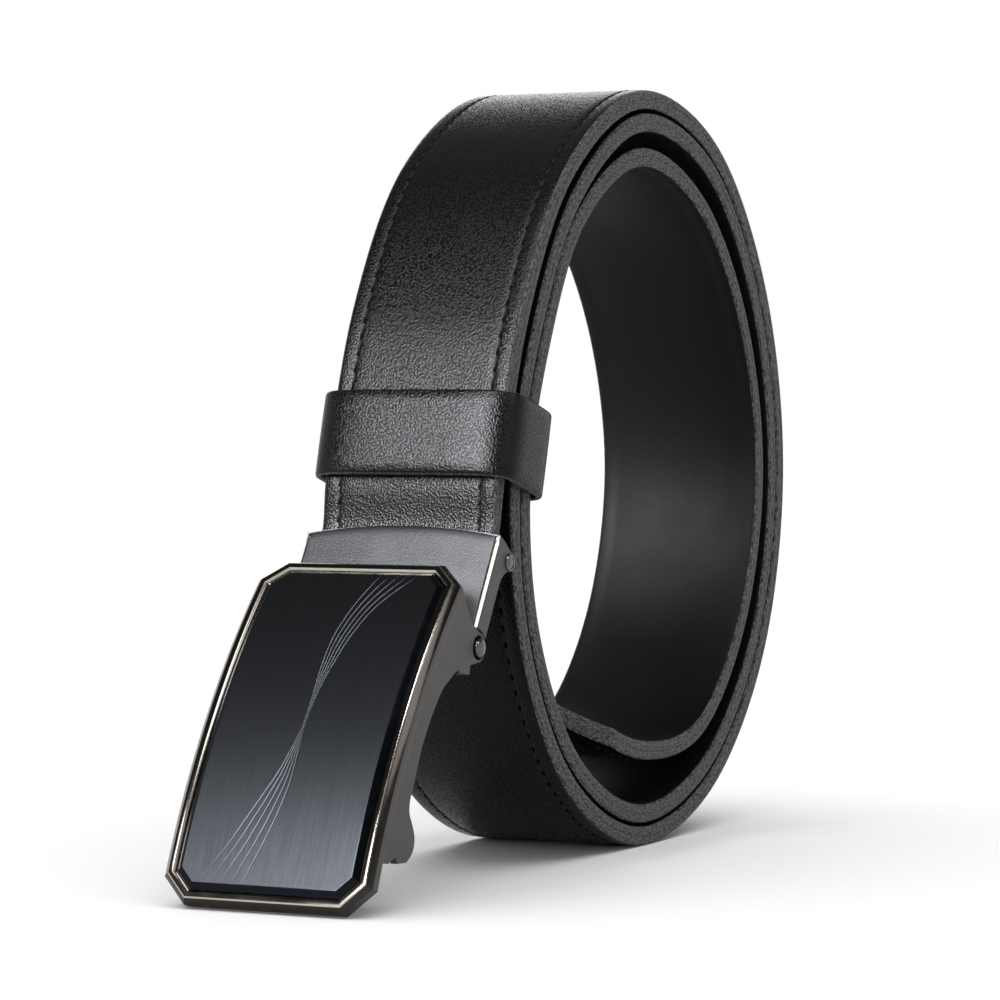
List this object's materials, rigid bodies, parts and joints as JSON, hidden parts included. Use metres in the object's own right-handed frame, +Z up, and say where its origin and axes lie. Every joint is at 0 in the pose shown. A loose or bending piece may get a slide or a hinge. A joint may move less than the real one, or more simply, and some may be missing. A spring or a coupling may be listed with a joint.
{
  "type": "ratchet belt",
  "caption": "Black leather belt rolled into an upright coil, with a leather keeper, a hinged strap-end clamp and an arched rectangular slide buckle.",
  "frame": {"origin": "centre of the standing belt's footprint box, on the surface it stands on", "axes": "+Z up, +X across the strap's width, -Y towards the buckle"},
  "size_m": [0.0408, 0.1924, 0.1464],
  "materials": {
    "grained_leather": "black pebble grain, semi-matt",
    "lining_leather": "black smooth lining",
    "keeper_leather": "black pebble grain, semi-matt",
    "satin_metal": "bead-blasted gunmetal",
    "polished_metal": "polished",
    "buckle_metal": "polished rim, satin side walls",
    "black_panel": "black brushed gloss",
    "plain_steel": "plain"
  },
  "bodies": {
    "belt": {"strap_face": "grained_leather", "strap_lining": "lining_leather", "keeper": "keeper_leather", "clamp_case": "satin_metal", "clamp_flap": "plain_steel", "clamp_pin": "polished_metal"},
    "buckle": {"buckle_frame": "buckle_metal", "face_inlay": "black_panel", "pivot_pin": "polished_metal", "latch_pawl": "plain_steel"}
  },
  "joints": [
    {"name": "buckle_hinge", "type": "hinge", "parent": "belt", "child": "buckle", "pos_m": [0, -0.05343, 0.04293], "axis": [1, 0, 0], "range_deg": [0, 80]}
  ]
}
